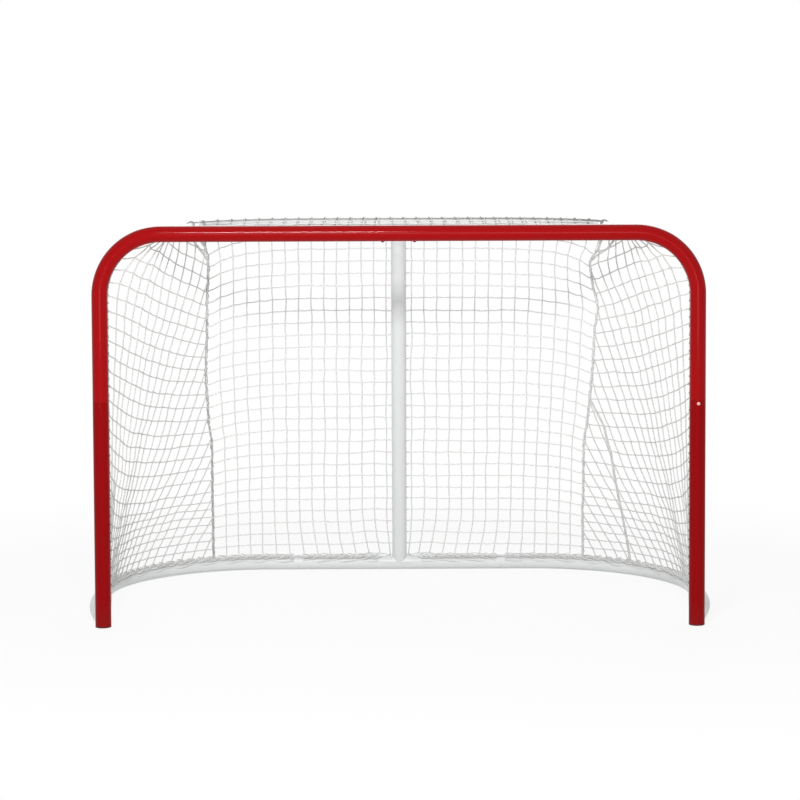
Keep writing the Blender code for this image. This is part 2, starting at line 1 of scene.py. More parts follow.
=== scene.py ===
# Roller hockey goal: smooth tubes, fixings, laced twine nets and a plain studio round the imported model.
import json
import math

import bmesh
import bpy
from mathutils import Matrix, Vector, noise


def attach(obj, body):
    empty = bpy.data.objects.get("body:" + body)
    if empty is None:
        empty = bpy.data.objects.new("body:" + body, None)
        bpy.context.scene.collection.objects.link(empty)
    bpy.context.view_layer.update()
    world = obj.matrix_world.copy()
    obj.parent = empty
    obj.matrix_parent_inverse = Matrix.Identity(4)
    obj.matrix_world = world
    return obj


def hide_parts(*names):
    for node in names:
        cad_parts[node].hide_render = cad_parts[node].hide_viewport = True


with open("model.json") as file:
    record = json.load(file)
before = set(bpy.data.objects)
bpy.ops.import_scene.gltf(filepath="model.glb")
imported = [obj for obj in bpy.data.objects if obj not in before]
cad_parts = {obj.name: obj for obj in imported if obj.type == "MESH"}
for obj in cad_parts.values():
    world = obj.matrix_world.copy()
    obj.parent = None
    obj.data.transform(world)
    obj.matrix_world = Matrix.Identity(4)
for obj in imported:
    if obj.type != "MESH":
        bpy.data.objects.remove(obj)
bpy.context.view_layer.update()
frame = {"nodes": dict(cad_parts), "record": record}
noise.seed_set(7)
up, back, right = Vector((0, 0, 1)), Vector((0, 1, 0)), Vector((1, 0, 0))
hands = (("left", -1), ("right", 1))

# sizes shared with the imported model, in metres
goal = {
    "tube": 0.0254,  # radius of every main tube
    "wall": 0.0018,
    "postX": 0.9399,
    "frontY": -0.511,
    "rearY": 0.511,
    "crossbarZ": 1.2444,
    "cornerRadius": 0.194,
    "postJoint": 0.718,
    "flare": math.radians(13.3),  # how far the base tubes point outwards where they leave the posts
    "baseRun": 0.1,
    "baseSideRadius": 0.98,
    "baseCornerRadius": 0.53,
    "baseJoint": 0.36,
    "shelfX": 0.69,
    "shelfY": -0.003,
    "shelfRun": 0.085,
    "shelfRadius": 0.423,
    "cleft": 0.0003,  # clearance between seated pieces
}


def unit(value):
    return min(max(value, 0.0), 1.0)


def smooth(share):
    return share * share * (3 - 2 * share)


def between(low, high, share):
    return low + (high - low) * share


def shares(count):
    return [i / count for i in range(count + 1)]


def curveAt(knots, where):
    # a smooth line through (place, value) pairs
    for (a, low), (b, high) in zip(knots, knots[1:]):
        if where <= b:
            return between(low, high, smooth(unit((where - a) / (b - a))))
    return knots[-1][1]


def bisect(low, high, isShort):
    # closes in on the place up to which isShort holds
    for _ in range(40):
        middle = (low + high) / 2
        if isShort(middle):
            low = middle
        else:
            high = middle
    return high


class Wire:
    # a node's output, which adds Math nodes when it is used in sums
    def __init__(self, paint, socket):
        self.paint, self.socket = paint, socket

    def join(self, operation, *values):
        return self.paint.node("ShaderNodeMath", {"operation": operation}, *values)

    def __add__(self, other):
        return self.join("ADD", self, other)

    def __sub__(self, other):
        return self.join("SUBTRACT", self, other)

    def __rsub__(self, other):
        return self.join("SUBTRACT", other, self)

    def __mul__(self, other):
        return self.join("MULTIPLY", self, other)

    def clamp(self):
        return self.join("MINIMUM", self.join("MAXIMUM", self, 0.0), 1.0)


class Paint:
    # the nodes of a material or a world: node() adds one, looks() sets the shader
    def __init__(self, owner, shader="Principled BSDF"):
        owner.use_nodes = True
        self.owner, self.tree = owner, owner.node_tree
        self.shader = self.tree.nodes[shader]

    def node(self, kind, settings, *values, out=0, **named):
        new = self.tree.nodes.new(kind)
        for key, value in settings.items():
            setattr(new, key, value)
        for key, value in [*enumerate(values), *named.items()]:
            self.plug(new.inputs[key], value)
        return Wire(self, new.outputs[out])

    def plug(self, socket, value):
        if isinstance(value, Wire):
            self.tree.links.new(value.socket, socket)
        else:
            socket.default_value = (*value, 1) if isinstance(value, tuple) else value

    def looks(self, **values):
        for key, value in values.items():
            self.plug(self.shader.inputs[key.replace("_", " ")], value)

    def place(self):
        return self.node("ShaderNodeTexCoord", {}, out="Object")

    def grain(self, where, scale, detail=2.0, rough=0.5):
        return self.node("ShaderNodeTexNoise", {}, out="Fac", Vector=where, Scale=scale, Detail=detail,
                         Roughness=rough)

    def blend(self, factor, first, second):
        return self.node("ShaderNodeMix", {"data_type": "RGBA"}, out="Result", Factor=factor, A=first,
                         B=second)

    def bump(self, height, strength, distance):
        return self.node("ShaderNodeBump", {}, Height=height, Strength=strength, Distance=distance)

    def seen(self):
        # 1 for rays that show the backdrop, 0 for those that light the goal
        path = self.tree.nodes.new("ShaderNodeLightPath")
        camera, glossy, transmission = (Wire(self, path.outputs[name]) for name in (
            "Is Camera Ray", "Is Glossy Ray", "Is Transmission Ray"))
        return (camera + glossy + transmission).clamp()


coat = {
    "red": (0.345, 0.001, 0.002),
    # darker red of the lower posts: partly their own slightly darker coat, partly painted shade for the
    # weaker light on the upright posts
    "redPostToneAndShade": (0.27, 0.001, 0.0022),
    "redDeep": (0.25, 0.001, 0.002),
    "redDusty": (0.25, 0.01, 0.01),
    # light pink for the right post screw's head: a painted highlight
    "paintedGlint": (0.8, 0.42, 0.37),
    "paintedGlintDeep": (0.6, 0.25, 0.2),
    "white": (0.79, 0.81, 0.805),
    "whiteWorn": (0.7, 0.72, 0.72),
    "peel": 650.0,  # orange peel bumps a metre
    "peelStrength": 0.05,
    "peelHeight": 0.0003,
    "cloud": 3.1,
    "cloudTone": 0.35,
    "cloudRough": 0.01,
    "scuff": 46.0,
    "scuffGain": 3.2,
    "scuffLoss": 1.9,
    "scuffTone": 0.22,
    "scuffRough": 0.012,
    "dustFall": 9.0,  # how fast the dust thins out with height
    "dustSway": 0.05,
    "dustTone": 0.7,
    "dustRough": 2.0,
}


def powderCoat(name, colour, worn, roughness, level, dusty=None):
    paint = Paint(bpy.data.materials.new(name))
    where = paint.place()
    peel = paint.grain(where, coat["peel"], 1.0)
    cloud = paint.grain(where, coat["cloud"], 3.0)
    scuff = paint.grain(where, coat["scuff"], 5.0, 0.7)
    scuff = (scuff * coat["scuffGain"] - coat["scuffLoss"]).clamp()
    tone = paint.blend(cloud * coat["cloudTone"], colour, worn)
    tone = paint.blend(scuff * coat["scuffTone"], tone, worn)
    if dusty:
        # dust and rubbed gloss low on the posts
        height = paint.node("ShaderNodeSeparateXYZ", {}, where, out="Z")
        low = (1.0 - (height + cloud * coat["dustSway"]) * coat["dustFall"]).clamp()
        tone = paint.blend(low * coat["dustTone"], tone, dusty)
        scuff = scuff + low * coat["dustRough"]
    paint.looks(Base_Color=tone,
                Roughness=cloud * coat["cloudRough"] + scuff * coat["scuffRough"] + roughness,
                Normal=paint.bump(peel, coat["peelStrength"], coat["peelHeight"]), Specular_IOR_Level=level)
    return paint


plate = {
    "dark": (0.52, 0.53, 0.54),
    "light": (0.68, 0.68, 0.66),
    "cloud": 60.0,
    "rough": 0.28,
    "mottle": 0.2,
}


def zincPlate():
    paint = Paint(bpy.data.materials.new("zincPlate"))
    cloud = paint.grain(paint.place(), plate["cloud"], 3.0)
    paint.looks(Base_Color=paint.blend(cloud, plate["dark"], plate["light"]), Metallic=1.0,
                Roughness=cloud * plate["mottle"] + plate["rough"])
    return paint


plastic = {
    "dark": (0.05, 0.004, 0.006),
    "light": (0.085, 0.008, 0.01),
    "grit": 420.0,
    "gritStrength": 0.15,
    "gritHeight": 0.0004,
    "rough": 0.45,
    "mottle": 0.2,
}


def capPlastic():
    paint = Paint(bpy.data.materials.new("capPlastic"))
    grit = paint.grain(paint.place(), plastic["grit"], 2.0)
    paint.looks(Base_Color=paint.blend(grit, plastic["dark"], plastic["light"]),
                Roughness=grit * plastic["mottle"] + plastic["rough"],
                Normal=paint.bump(grit, plastic["gritStrength"], plastic["gritHeight"]))
    return paint


twist = {
    # light and dark of each twine
    "net": ((0.9, 0.9, 0.89), (0.72, 0.72, 0.71)),
    "side": ((0.8, 0.8, 0.79), (0.58, 0.58, 0.57)),
    "seam": ((0.58, 0.58, 0.57), (0.36, 0.36, 0.35)),
    # the lacing cords are the same white twine made darker: painted shade
    "shadedLace": ((0.5, 0.5, 0.49), (0.26, 0.26, 0.25)),
    "lay": 45.0,  # turns a metre
    "layTone": 0.35,
    "fuzz": 900.0,
    "fuzzTone": 0.4,
    "dirt": 2.4,
    "dirtTone": 0.35,
    "bumpStrength": 0.4,
    "bumpHeight": 0.0006,
    "rough": 0.9,
    "level": 0.15,
}


def twine(name, light, dark):
    paint = Paint(bpy.data.materials.new(name))
    where = paint.place()
    lay = paint.node("ShaderNodeTexWave", {"bands_direction": "DIAGONAL"}, out="Fac", Vector=where,
                     Scale=twist["lay"], Distortion=2.0, Detail=1.0)
    fuzz = paint.grain(where, twist["fuzz"], 3.0, 0.7)
    dirt = paint.grain(where, twist["dirt"], 3.0)
    shade = (lay * twist["layTone"] + fuzz * twist["fuzzTone"] + dirt * twist["dirtTone"]).clamp()
    paint.looks(Base_Color=paint.blend(shade, dark, light), Roughness=twist["rough"],
                Normal=paint.bump(lay * 0.5 + fuzz * 0.5, twist["bumpStrength"], twist["bumpHeight"]),
                Specular_IOR_Level=twist["level"])
    return paint


finish = {
    "red": powderCoat("redPowderCoat", coat["red"], coat["redDeep"], 0.085, 0.09),
    # the lower posts' darker red is partly painted shade, standing in for the weaker light they get than the
    # crossbar
    "redPostToneAndShade": powderCoat("redPowderCoatPostShaded", coat["redPostToneAndShade"], coat["redDeep"], 0.12, 0.06, coat["redDusty"]),
    # a painted highlight: light pink paint standing in for a glint on the right post screw
    "paintedGlint": powderCoat("redPowderCoatPaintedGlint", coat["paintedGlint"], coat["paintedGlintDeep"], 0.2, 0.5),
    "white": powderCoat("whitePowderCoat", coat["white"], coat["whiteWorn"], 0.3, 0.25),
    "zinc": zincPlate(),
    "cap": capPlastic(),
    "twine": twine("netTwine", *twist["net"]),
    "sideTwine": twine("sideTwine", *twist["side"]),
    "seam": twine("seamTwine", *twist["seam"]),
    # darker copy of the twine for the front and shelf lacing: painted shade
    "shadedLace": twine("laceTwineShaded", *twist["shadedLace"]),
}
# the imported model's slot of each look; a solid gets the first look of its slot
slots = {
    "red": "red_powder_coat",
    "redPostToneAndShade": "red_powder_coat",
    "paintedGlint": "red_powder_coat",
    "white": "white_powder_coat",
    "zinc": "zinc_plated_steel",
    "cap": "cap_plastic",
    "twine": "white_twine",
    "sideTwine": "white_twine",
    "seam": "white_twine",
    "shadedLace": "white_twine",
}
slotOf = {part["node"]: part["material_slot"] for part in frame["record"]["subparts"]}
for nodeName, thing in frame["nodes"].items():
    look = next(key for key in slots if slots[key] == slotOf[nodeName])
    thing.data.materials.clear()
    thing.data.materials.append(finish[look].owner)
print("materials done")


def finishPiece(name, bm, look, *nodes, wall=0.0, bevel=0.0, sharp=40):
    mesh = bpy.data.meshes.new(name)
    if wall:
        bmesh.ops.solidify(bm, geom=bm.faces[:], thickness=wall)
    for face in bm.faces:
        face.smooth = True
    bm.to_mesh(mesh)
    bm.free()
    mesh.set_sharp_from_angle(angle=math.radians(sharp))
    placeMesh(name, mesh, look, *nodes, bevel=bevel)


def placeMesh(name, mesh, look, *nodes, bevel=0.0):
    piece = bpy.data.objects.new(name, mesh)
    bpy.context.scene.collection.objects.link(piece)
    mesh.materials.append(finish[look].owner)
    if bevel:
        edge = piece.modifiers.new("edge", "BEVEL")
        edge.width, edge.segments, edge.limit_method = bevel, 2, "ANGLE"
    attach(piece, "root")
    if nodes:
        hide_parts(*nodes)


def placing(spot, axis):
    return Matrix.Translation(spot) @ axis.to_track_quat("Z", "Y").to_matrix().to_4x4()


class Line:
    # a tube's centreline on the right side, walked as straight runs and bends towards its inner side
    def __init__(self, spot, heading, inner):
        self.spot, self.heading, self.inner = Vector(spot), Vector(heading), Vector(inner)
        self.legs, self.length = [], 0.0

    def leg(self, length, radius):
        self.legs.append((self.length, length, self.spot, self.heading, self.inner, radius))
        self.length += length

    def run(self, length):
        self.leg(length, 0.0)
        self.spot = self.spot + self.heading * length
        return self

    def bend(self, radius, angle):
        self.leg(radius * angle, radius)
        centre = self.spot + self.inner * radius
        turn = Matrix.Rotation(angle, 3, self.heading.cross(self.inner))
        self.heading, self.inner = turn @ self.heading, turn @ self.inner
        self.spot = centre - self.inner * radius
        return self

    def at(self, distance):
        distance = min(max(distance, 0.0), self.length)
        for start, length, spot, heading, inner, radius in self.legs:
            if distance <= start + length + 1e-9:
                break
        along = distance - start
        if not radius:
            return spot + heading * along, heading, inner
        turn = Matrix.Rotation(along / radius, 3, heading.cross(inner))
        newHeading, newInner = turn @ heading, turn @ inner
        return spot + inner * radius - newInner * radius, newHeading, newInner

    def reach(self, x):
        # the distance at which the line has come in to x
        return bisect(self.length * 0.1, self.length, lambda distance: self.at(distance)[0].x > x)

    def ring(self, distance, side, angle, radius, lift=up):
        # a point round the tube, at an angle from lift towards the inner side
        spot, heading, inner = self.at(distance)
        spot = spot + inner * radius * math.sin(angle) + lift * radius * math.cos(angle)
        return Vector((side * spot.x, spot.y, spot.z))


def shelfStart():
    line = Line((goal["shelfX"], goal["frontY"], goal["crossbarZ"]), back, -right)
    return line.run(goal["shelfRun"]).bend(goal["shelfRadius"], math.pi / 2)


frontLine = Line((goal["postX"], goal["frontY"], 0), up, -right)
frontLine.run(goal["crossbarZ"] - goal["cornerRadius"]).bend(goal["cornerRadius"], math.pi / 2)
frontLine.run(goal["postX"] - goal["cornerRadius"])
baseLine = Line((goal["postX"], goal["frontY"], goal["tube"]),
                (math.sin(goal["flare"]), math.cos(goal["flare"]), 0),
                (-math.cos(goal["flare"]), math.sin(goal["flare"]), 0))
baseLine.run(goal["baseRun"]).bend(goal["baseSideRadius"], goal["flare"])
baseLine.run(goal["rearY"] - goal["baseCornerRadius"] - baseLine.spot.y)
baseLine.bend(goal["baseCornerRadius"], math.pi / 2)
baseLine.run(baseLine.spot.x)
shelfLine = shelfStart().run(goal["shelfX"] - goal["shelfRadius"])
wholeShelf = shelfStart().run(2 * (goal["shelfX"] - goal["shelfRadius"]))
wholeShelf.bend(goal["shelfRadius"], math.pi / 2).run(goal["shelfRun"])
barTop = Vector((0, goal["shelfY"], goal["crossbarZ"]))
barFoot = Vector((0, goal["rearY"], goal["tube"]))
barDown = (barFoot - barTop).normalized()


def fishMouth(verts, heading, middle, axis, radius):
    # slides an end's points along the tube until they meet a round tube across it
    way = heading - axis * heading.dot(axis)
    for vert in verts:
        off = vert.co - Vector(middle)
        off -= axis * off.dot(axis)
        a, b, c = way.dot(way), 2 * off.dot(way), off.dot(off) - radius ** 2
        root = b * b - 4 * a * c
        vert.co += heading * ((-b + math.sqrt(max(root, 0.0))) / (2 * a))


def vertsOf(edges):
    # each point once
    return list(dict.fromkeys(vert for edge in edges for vert in edge.verts))


tubeMesh = {"sides": 48, "bendStep": 2.5, "sharp": 50}
peg = {"foot": 0.0034, "head": 0.0023, "gap": 0.0004, "sides": 16}


def drawTube(name, line, start, stop, side, look, *nodes, radius=goal["tube"], wall=goal["wall"],
             sides=tubeMesh["sides"], offset=(0, 0), lift=up, mouths=(None, None), pegs=()):
    # a ring pushed along the straight runs and spun round the bends
    bm = bmesh.new()

    def station(distance):
        spot, heading, inner = line.at(distance)
        return spot + inner * offset[0] + lift * offset[1], heading, inner

    spot, firstHeading, inner = station(start)
    bmesh.ops.create_circle(bm, segments=sides, radius=radius, matrix=placing(spot, firstHeading))
    firstRing, edges = bm.verts[:], bm.edges[:]
    for legStart, length, legSpot, legHeading, legInner, bendRadius in line.legs:
        low, high = max(start, legStart), min(stop, legStart + length)
        if high - low < 1e-6:
            continue
        spot, heading, inner = station(low)
        if bendRadius:
            centre = legSpot + legInner * bendRadius + lift * offset[1]
            angle = (high - low) / bendRadius
            steps = max(4, math.ceil(math.degrees(angle) / tubeMesh["bendStep"]))
            grown = bmesh.ops.spin(bm, geom=edges + vertsOf(edges), cent=centre, axis=heading.cross(inner),
                                   angle=angle, steps=steps)["geom_last"]
        else:
            grown = bmesh.ops.extrude_edge_only(bm, edges=edges)["geom"]
            bmesh.ops.translate(bm, verts=[g for g in grown if isinstance(g, bmesh.types.BMVert)],
                                vec=heading * (high - low))
        edges = [g for g in grown if isinstance(g, bmesh.types.BMEdge)]
    ends = ((firstRing, firstHeading), (vertsOf(edges), -station(stop)[1]))
    for (ring, inwards), mouth in zip(ends, mouths):
        if mouth:
            fishMouth(ring, inwards, *mouth)
    if not wall:
        bmesh.ops.holes_fill(bm, edges=[e for e in bm.edges if e.is_boundary], sides=0)
    for distance in pegs:
        spot, heading, inner = line.at(distance)
        axis = (inner * offset[0] + lift * offset[1]).normalized()
        foot, head = spot + axis * (goal["tube"] + peg["gap"]), spot + axis * math.hypot(*offset)
        bmesh.ops.create_cone(bm, cap_ends=True, segments=peg["sides"], radius1=peg["foot"],
                              radius2=peg["head"], depth=(head - foot).length,
                              matrix=placing((foot + head) / 2, axis))
    bmesh.ops.recalc_face_normals(bm, faces=bm.faces)
    if side < 0:
        bmesh.ops.scale(bm, vec=(-1, 1, 1), verts=bm.verts)
        bmesh.ops.reverse_faces(bm, faces=bm.faces)
    finishPiece(name, bm, look, *nodes, wall=wall, sharp=tubeMesh["sharp"])


post = {"foot": 0.0043, "mouth": goal["tube"] + goal["cleft"]}
joint = {"post": 0.0001, "crossbar": 0.00003, "base": 0.0002, "inMouth": 0.02}
baseJointAt = baseLine.reach(goal["baseJoint"])
for word, side in hands:
    drawTube(f"{word}LowerPost", frontLine, post["foot"], goal["postJoint"] - joint["post"], side, "redPostToneAndShade",
             f"{word}_lower_post")
    drawTube(f"{word}CornerTube", frontLine, goal["postJoint"] + joint["post"],
             frontLine.length - joint["crossbar"], side, "red", f"{word}_corner_tube")
    drawTube(f"{word}BaseTube", baseLine, joint["inMouth"], baseJointAt - joint["base"], side, "white",
             f"{word}_base_tube", mouths=(((goal["postX"], goal["frontY"], 0), up, post["mouth"]), None))
rearLine = Line((goal["baseJoint"] - joint["base"], goal["rearY"], goal["tube"]), -right, -back)
rearLine.run(2 * (goal["baseJoint"] - joint["base"]))
drawTube("rearBaseTube", rearLine, 0, rearLine.length, 1, "white", "rear_base_tube")
crossbarMouth = ((0, goal["frontY"], goal["crossbarZ"]), right, post["mouth"])
drawTube("topShelfTube", wholeShelf, joint["inMouth"], wholeShelf.length - joint["inMouth"], 1, "white",
         "top_shelf_tube", mouths=(crossbarMouth, crossbarMouth))

saddle = {
    "wall": 0.003,
    "length": 0.1,
    "spread": math.radians(65),
    "steps": 40,
    "round": 0.012,
    "bevel": 0.0006,
    "boltX": 0.038,
}
saddle["outside"] = goal["tube"] + 2 * goal["cleft"] + saddle["wall"]
barLine = Line(barTop, barDown, right).run((barFoot - barTop).length)
drawTube("centreBar", barLine, 0, barLine.length, 1, "white", "centre_bar",
         mouths=[(end, right, saddle["outside"] + goal["cleft"]) for end in (barTop, barFoot)])

rod = {
    "radius": 0.003,
    "sides": 14,
    "reach": 0.0364,  # from the tube's axis to the rod's
    "end": 0.012,
    "front": math.radians(30),
    "base": math.radians(45),
    "postStart": 0.0762,
    "baseStart": 0.0635,
    "basePeg": 0.02,
}


def drawRod(name, line, start, stop, side, angle, lift, look, node, pegIn):
    offset = (rod["reach"] * math.sin(angle), rod["reach"] * math.cos(angle))
    drawTube(name, line, start, stop, side, look, node, radius=rod["radius"], wall=0, sides=rod["sides"],
             offset=offset, lift=lift, pegs=(start + pegIn, (start + stop) / 2, stop - pegIn))


shelfOnFront = frontLine.length - goal["shelfX"]
frontRuns = (
    (rod["postStart"], goal["postJoint"] - rod["end"]),
    (goal["postJoint"] + rod["end"], shelfOnFront - goal["tube"] - rod["end"]),
    (shelfOnFront + goal["tube"] + rod["end"], frontLine.length - rod["end"]),
)
baseRuns = (
    (rod["baseStart"], baseJointAt - rod["end"]),
    (baseJointAt + rod["end"], baseLine.reach(saddle["length"] / 2 + rod["end"])),
)
for word, side in hands:
    for part, run in zip(("post", "corner", "crossbar"), frontRuns):
        drawRod(f"{word}{part.title()}Rod", frontLine, *run, side, rod["front"], back, "red",
                f"{word}_{part}_rod", rod["end"])
    for part, run in zip(("base", "rear"), baseRuns):
        drawRod(f"{word}{part.title()}Rod", baseLine, *run, side, rod["base"], up, "white",
                f"{word}_{part}_rod", rod["basePeg"])


def spinProfile(profile, steps):
    # a turned piece: its outline spun round the z axis
    bm = bmesh.new()
    knots = [bm.verts.new((x, 0, z)) for x, z in profile]
    for a, b in zip(knots, knots[1:]):
        bm.edges.new((a, b))
    bmesh.ops.spin(bm, geom=bm.verts[:] + bm.edges[:], cent=(0, 0, 0), axis=(0, 0, 1), angle=2 * math.pi,
                   steps=steps, use_merge=True)
    bmesh.ops.remove_doubles(bm, verts=bm.verts, dist=1e-6)
    bmesh.ops.recalc_face_normals(bm, faces=bm.faces)
    return bm


screw = {
    "sides": 24,
    "head": 0.0055,
    "height": 0.003,
    "dome": (0.45, 0.75, 1.0, 1.2, 1.36),
    "shank": 0.003,
    "length": 0.012,
    "socket": 0.0019,
    # how far each screw sits from the joint, the post, the middle or the crossbar
    "belowJoint": 0.012,
    "alongBase": 0.06,
    "fromMiddle": 0.05,
    "alongShelf": 0.05,
    "besideJoint": 0.04,
}


def drawScrew(name, node, seat, outward, look):
    # a button head with a hexagon socket
    height, head, socket = screw["height"], screw["head"], screw["socket"]
    shank, length = screw["shank"], screw["length"]
    dome = [(head * math.sin(a), height * (0.25 + 0.75 * math.cos(a * 1.15))) for a in screw["dome"]]
    profile = [(0, height * 0.35), (socket, height * 0.4), (socket, height * 0.97), *dome, (head, 0),
               (shank, 0), (shank, -length), (0, -length)]
    bm = spinProfile(profile, screw["sides"])
    for vert in bm.verts:
        flat = math.hypot(vert.co.x, vert.co.y)
        if 1e-5 < flat < socket * 1.01 and vert.co.z > 0:
            turn = (math.degrees(math.atan2(vert.co.y, vert.co.x)) + 360) % 60 - 30
            scale = 0.92 / math.cos(math.radians(turn))
            vert.co.x, vert.co.y = vert.co.x * scale, vert.co.y * scale
    bmesh.ops.transform(bm, matrix=placing(seat + outward * goal["cleft"], outward), verts=bm.verts)
    finishPiece(name, bm, look, node)


cap = {
    "flange": 0.004,
    "plug": 0.03,
    "inside": 0.0233,
    "plugEdge": 0.001,
    "topEdge": 0.0006,
    "footEdge": 0.0012,
    "footRound": 0.0004,
}
capProfile = [
    (0, cap["plug"]),
    (cap["inside"] - cap["plugEdge"], cap["plug"]),
    (cap["inside"], cap["plug"] - cap["plugEdge"]),
    (cap["inside"], cap["flange"]),
    (goal["tube"] - cap["topEdge"], cap["flange"]),
    (goal["tube"], cap["flange"] - cap["topEdge"]),
    (goal["tube"], cap["footEdge"]),
    (goal["tube"] - cap["footRound"], cap["footRound"]),
    (goal["tube"] - cap["footEdge"], 0),
    (0, 0),
]
underBar = goal["crossbarZ"] - goal["tube"]
for word, side in hands:
    postAt = Vector((side * goal["postX"], goal["frontY"], 0))
    bm = spinProfile(capProfile, tubeMesh["sides"])
    bmesh.ops.translate(bm, vec=postAt, verts=bm.verts)
    finishPiece(f"{word}FootCap", bm, "cap", f"{word}_foot_cap")
    seat = postAt + up * (goal["postJoint"] - screw["belowJoint"]) - back * goal["tube"]
    # the right screw's head is painted light pink, a painted highlight for a glint on it
    drawScrew(f"{word}PostScrew", f"{word}_post_bolt", seat, -back, "paintedGlint" if side > 0 else "red")
    seat = baseLine.ring(screw["alongBase"], side, 0, goal["tube"])
    drawScrew(f"{word}BaseScrew", f"{word}_base_bolt", seat, up, "zinc")
    seat = Vector((side * screw["fromMiddle"], goal["frontY"], underBar))
    drawScrew(f"{word}CrossbarScrew", f"{word}_crossbar_bolt", seat, -up, "red")
    seat = Vector((side * goal["shelfX"], goal["frontY"] + screw["alongShelf"], underBar))
    drawScrew(f"{word}ShelfScrew", f"{word}_shelf_bolt", seat, -up, "zinc")
    for place, offset in (("outer", screw["besideJoint"]), ("inner", -screw["besideJoint"])):
        seat = Vector((side * (goal["baseJoint"] + offset), goal["rearY"] + goal["tube"], goal["tube"]))
        drawScrew(f"{word}{place.title()}BaseScrew", f"{word}_{place}_base_joint_bolt", seat, back, "zinc")

for name, node, centre, outward in (("shelfSaddle", "shelf_saddle", barTop, barDown),
                                    ("baseSaddle", "base_saddle", barFoot, -barDown)):
    bm = bmesh.new()
    arm = Matrix.Rotation(-saddle["spread"], 3, right) @ outward * (saddle["outside"] - goal["cleft"])
    tips = [bm.verts.new(arm + right * s * saddle["length"] / 2) for s in (-1, 1)]
    edge = bm.edges.new(tips)
    bmesh.ops.spin(bm, geom=[*tips, edge], cent=(0, 0, 0), axis=right, angle=2 * saddle["spread"],
                   steps=saddle["steps"])
    corners = [v for v in bm.verts if len(v.link_edges) == 2]
    bmesh.ops.bevel(bm, geom=corners, offset=saddle["round"], segments=6, profile=0.5, affect="VERTICES",
                    material=-1)
    if sum(f.normal.dot(f.calc_center_median()) for f in bm.faces) < 0:
        bmesh.ops.reverse_faces(bm, faces=bm.faces)
    bmesh.ops.translate(bm, verts=bm.verts, vec=centre)
    finishPiece(name, bm, "white", node, wall=saddle["wall"], bevel=saddle["bevel"])
    for word, side in hands:
        drawScrew(f"{name}{word.title()}Screw", f"{node}_{word}_bolt",
                  centre + right * side * saddle["boltX"] + outward * saddle["outside"], outward, "zinc")
print("frame and fixings done")

net = {
    "cord": 0.0019,  # radius of the twine
    "knot": 1.6,  # how much a knot swells it
    "knotReach": 0.0042,
    "nearKnot": 1.1,
    "sag": 0.025,  # of the span between knots
    "wander": 0.045,
    "ring": 0.0414,  # distance of the laced edge from a tube's axis
    "wrap": 0.0278,  # distance of twine that lies on a tube
    "slack": 0.008,
    "cell": 0.0445,
    "top": {-1: 0.622, 1: 0.646},  # where each seam starts on the shelf
    "foot": {-1: 0.666, 1: 0.656},
}
# how far each seam strays inwards, by height share from the top
seamStray = {
    -1: ((0.0, 0.0), (0.036, 0.0085), (0.098, 0.0187), (0.264, 0.007), (0.441, -0.0036), (0.578, 0.0),
         (0.624, 0.008), (0.72, 0.006), (0.813, 0.003), (1.0, 0.0)),
    1: ((0.0, 0.0), (0.06, 0.0114), (0.091, 0.035), (0.111, 0.04), (0.139, 0.0314), (0.24, 0.004),
        (0.298, 0.009), (0.416, 0.008), (0.537, 0.0123), (0.645, 0.0205), (0.818, 0.0116), (1.0, 0.0)),
}


def shelfRing(x, angle):
    # a point where twine lies on the shelf, at an angle from its outer side upwards
    return shelfLine.ring(shelfLine.reach(abs(x)), math.copysign(1, x), angle - math.pi / 2, net["wrap"])


def seamSway(side, v):
    # the seam's own path: slack in the middle and strayed inwards
    return back * net["slack"] * math.sin(math.pi * v), -side * curveAt(seamStray[side], v)


def jitter(point, size):
    return noise.noise_vector(point * 9.0) * size + noise.noise_vector(point * 31.0) * size * 0.5


def tied(knots, thick=1.0, swell=None, sag=net["sag"]):
    # one cord through its knots, swollen at each and hanging a little between them
    swell = thick * net["knot"] if swell is None else swell
    points = []
    for a, b in zip(knots, knots[1:]):
        span = (b - a).length
        if span < 1e-4:
            continue
        near = min(net["knotReach"] / span, 0.3)
        middle = a.lerp(b, 0.5)
        wander = noise.noise_vector(middle * 57.0) * span * net["wander"]
        points += [(a, swell), (a.lerp(b, near), thick * net["nearKnot"]),
                   (middle - up * sag * span + wander, thick), (a.lerp(b, 1 - near), thick * net["nearKnot"])]
    return [*points, (knots[-1], swell)]


def wound(spotAt, start, stop, pitch, coil, thick, phase=0.0, loose=0.2, steps=8):
    # a cord that winds along a way; spotAt gives a point beside it for a distance and an angle
    count = round((stop - start) / pitch) * steps
    points = []
    for i in range(count + 1):
        distance = start + (stop - start) * i / count
        sway = noise.noise(Vector((distance * 23.0, phase, coil * 900.0)))
        width = coil * (1 + loose * noise.noise(Vector((phase, distance * 61.0, 3.0))))
        points.append((spotAt(distance, phase + 2 * math.pi * i / steps + sway * loose * 3.0, width), thick))
    return points


def cordMesh(name, strings, look, *nodes):
    curve = bpy.data.curves.new(name, "CURVE")
    curve.dimensions = "3D"
    curve.bevel_depth, curve.bevel_resolution, curve.use_fill_caps = net["cord"], 1, True
    for points in strings:
        if isinstance(points[0], Vector):
            points = tied(points)
        spline = curve.splines.new("POLY")
        spline.points.add(len(points) - 1)
        for knot, (place, radius) in zip(spline.points, points):
            knot.co, knot.radius = (*place, 1), radius
    carrier = bpy.data.objects.new(name, curve)
    bpy.context.scene.collection.objects.link(carrier)
    bpy.context.view_layer.update()
    mesh = bpy.data.meshes.new_from_object(carrier.evaluated_get(bpy.context.evaluated_depsgraph_get()))
    bpy.data.objects.remove(carrier)
    bpy.data.curves.remove(curve)
    mesh.name = name
    mesh.shade_smooth()
    placeMesh(name, mesh, look, *nodes)


def gridStrings(knotAt, columns, rows):
    grid = [[knotAt(column, row) for row in range(rows)] for column in range(columns)]
    return [*grid, *zip(*grid)]


